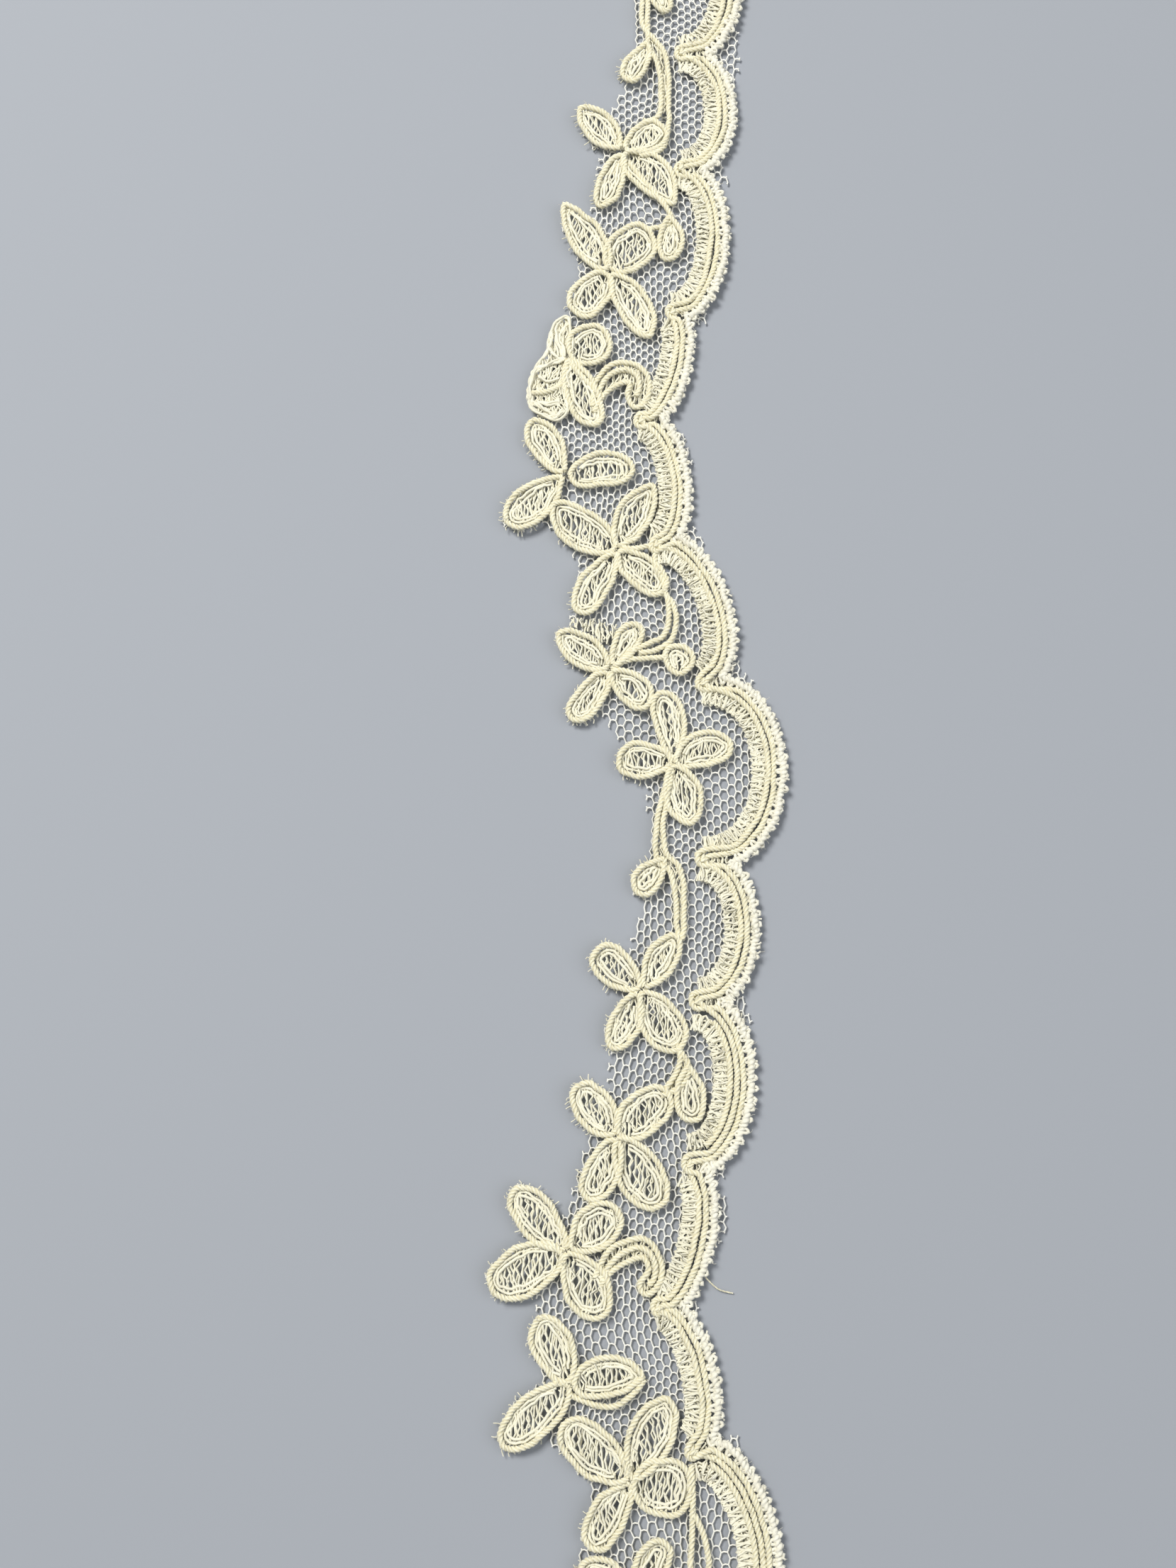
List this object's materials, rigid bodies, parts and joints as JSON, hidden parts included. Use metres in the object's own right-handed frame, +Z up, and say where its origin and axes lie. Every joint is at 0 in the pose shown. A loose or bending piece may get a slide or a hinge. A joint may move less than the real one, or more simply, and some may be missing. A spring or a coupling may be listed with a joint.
{
  "type": "corded lace trim",
  "caption": "Flat cut length of corded floral lace trim: net ground, raised cord round petals and stems, scalloped border with a picot edge.",
  "frame": {"origin": "middle of the trim's box, on the surface that it lies on", "axes": "+Y along the trim, +X towards the scalloped edge, +Z up from the surface"},
  "size_m": [0.0408, 0.2343, 0.0025],
  "materials": {
    "net": "matt ivory cotton net with worked petals",
    "cord": "matt cream plied cotton cord",
    "picot": "matt cream crinkled edging yarn"
  },
  "bodies": {
    "root": {"net_ground": "net", "scallop_cords": "cord", "picot_edge": "picot", "spray_cord_1": "cord", "spray_cord_2": "cord", "spray_cord_3": "cord", "spray_cord_4": "cord", "spray_cord_5": "cord", "spray_cord_6": "cord", "spray_cord_7": "cord", "spray_cord_8": "cord", "spray_cord_9": "cord", "spray_cord_10": "cord"}
  },
  "joints": []
}
